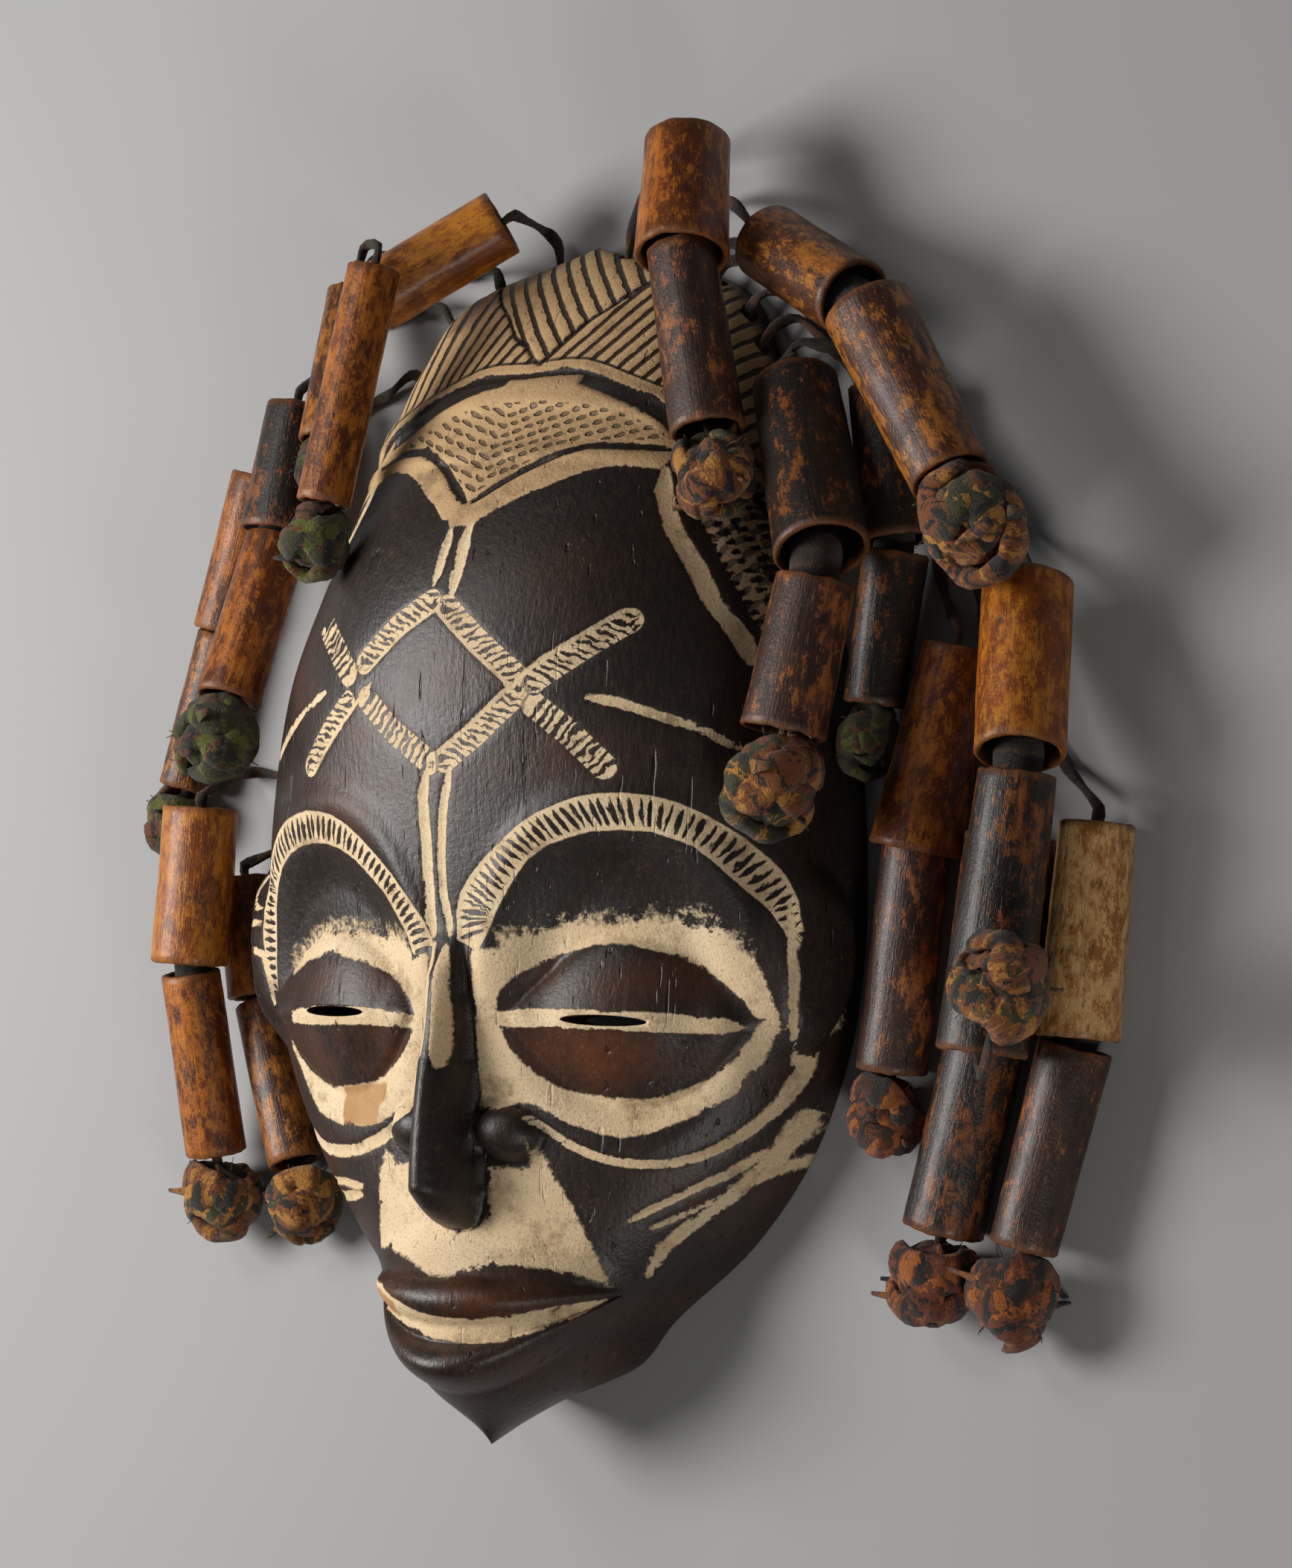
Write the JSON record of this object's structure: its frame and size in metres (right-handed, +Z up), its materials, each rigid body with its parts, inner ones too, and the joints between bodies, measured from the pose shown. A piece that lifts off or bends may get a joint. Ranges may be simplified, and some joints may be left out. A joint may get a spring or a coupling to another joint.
{
  "type": "carved wooden face mask",
  "caption": "Hollow carved wooden face mask in Chokwe mwana pwo style, with a headdress of knotted cloth strips threaded through bamboo tubes.",
  "frame": {"origin": "middle of the underside of the whole, in the plane it lies on", "axes": "+Z up, out of the face; +Y towards the crown; +X towards the viewer's right when the face is seen from the front"},
  "size_m": [0.2878, 0.3234, 0.0653],
  "materials": {
    "carved_wood": "dark oiled patina with cream pigment in the carving",
    "bamboo": "scorched and varnished, worn through in patches",
    "cloth": "soiled printed cotton"
  },
  "bodies": {
    "root": {"mask": "carved_wood", "left_1_wide_tube": "bamboo", "left_1_narrow_tube": "bamboo", "left_1_tie": "cloth", "left_2_narrow_tube": "bamboo", "left_2_tie": "cloth", "left_3_wide_tube": "bamboo", "left_3_narrow_tube": "bamboo", "left_3_tie": "cloth", "left_4_wide_tube": "bamboo", "left_4_narrow_tube": "bamboo", "left_4_tie": "cloth", "left_5_wide_tube": "bamboo", "left_5_narrow_tube": "bamboo", "left_5_tie": "cloth", "left_6_wide_tube": "bamboo", "left_6_narrow_tube": "bamboo", "left_6_tie": "cloth", "right_1_wide_tube": "bamboo", "right_1_narrow_tube": "bamboo", "right_1_tie": "cloth", "right_2_wide_tube": "bamboo", "right_2_narrow_tube": "bamboo", "right_2_tie": "cloth", "right_3_wide_tube": "bamboo", "right_3_narrow_tube": "bamboo", "right_3_tie": "cloth", "right_4_wide_tube": "bamboo", "right_4_narrow_tube": "bamboo", "right_4_tie": "cloth", "right_5_wide_tube": "bamboo", "right_5_narrow_tube": "bamboo", "right_5_tie": "cloth", "right_6_wide_tube": "bamboo", "right_6_narrow_tube": "bamboo", "right_6_tie": "cloth", "right_7_wide_tube": "bamboo", "right_7_narrow_tube": "bamboo", "right_7_tie": "cloth", "right_8_wide_tube": "bamboo", "right_8_narrow_tube": "bamboo", "right_8_tie": "cloth"}
  },
  "joints": []
}
